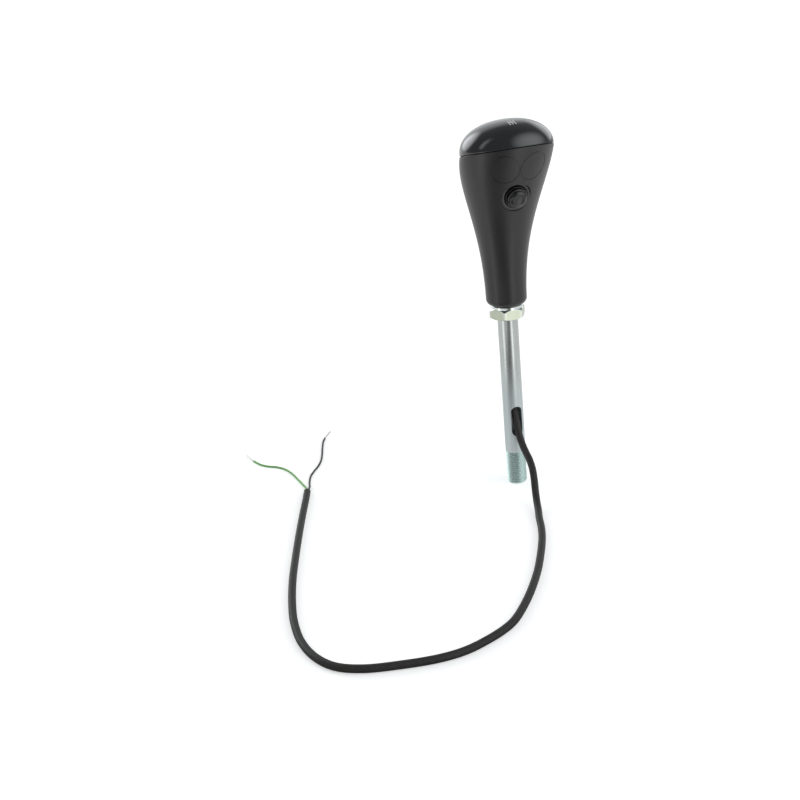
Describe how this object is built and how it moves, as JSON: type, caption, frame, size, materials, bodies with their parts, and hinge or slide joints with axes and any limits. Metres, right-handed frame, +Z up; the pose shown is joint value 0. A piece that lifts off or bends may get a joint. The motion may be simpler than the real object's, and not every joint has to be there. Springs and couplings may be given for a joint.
{
  "type": "lever knob with push button",
  "caption": "Pear-shaped lever knob with a momentary push button on a hollow threaded lever tube, with a jam nut and a two-core lead out of a slot.",
  "frame": {"origin": "centre of the lever tube's lower end face, 0.8 mm below the start of its thread", "axes": "+Z up along the lever tube towards the knob, -Y towards the side of the push button and the lead's slot, +X to the right seen from that side"},
  "size_m": [0.1942, 0.3051, 0.2222],
  "materials": {
    "grip": "satin black moulded nylon",
    "cap": "polished black",
    "brass": "machined",
    "zinc_nut": "zinc plated, faintly yellow",
    "zinc_tube": "bright zinc plated",
    "switch_plastic": "satin black",
    "button_plastic": "semi-gloss black",
    "spring_steel": "drawn",
    "insulator": "moulded phenolic",
    "nylon": "natural nylon",
    "sheath": "satin black jacket",
    "core_green": "satin green insulation",
    "core_black": "satin black insulation",
    "tinned": "tinned copper"
  },
  "bodies": {
    "lever": {"grip_body": "grip", "top_cap": "cap", "threaded_bush": "brass", "jam_nut": "zinc_nut", "lever_tube": "zinc_tube", "switch_housing": "switch_plastic", "switch_washer": "spring_steel", "switch_ring_nut": "zinc_nut", "switch_base": "insulator", "terminal_left": "brass", "terminal_right": "brass", "receptacle_left": "tinned", "receptacle_right": "tinned", "core_green_inner": "core_green", "core_black_inner": "core_black", "lead_tie": "nylon", "lead_in_tube": "sheath", "lead_sheath": "sheath", "wire_green": "core_green", "wire_black": "core_black", "wire_tip_green": "tinned", "wire_tip_black": "tinned", "return_spring": "spring_steel"},
    "button": {"button_cap": "button_plastic", "plunger": "nylon", "plunger_clip": "spring_steel", "contact_bridge": "brass"}
  },
  "joints": [
    {"name": "button_press", "type": "slide", "parent": "lever", "child": "button", "axis": [0, 0.9659, 0.2588], "range_m": [0, 0.0024], "stiffness_N_per_m": 1200, "springref_m": -0.001, "deforming": ["return_spring"]}
  ]
}
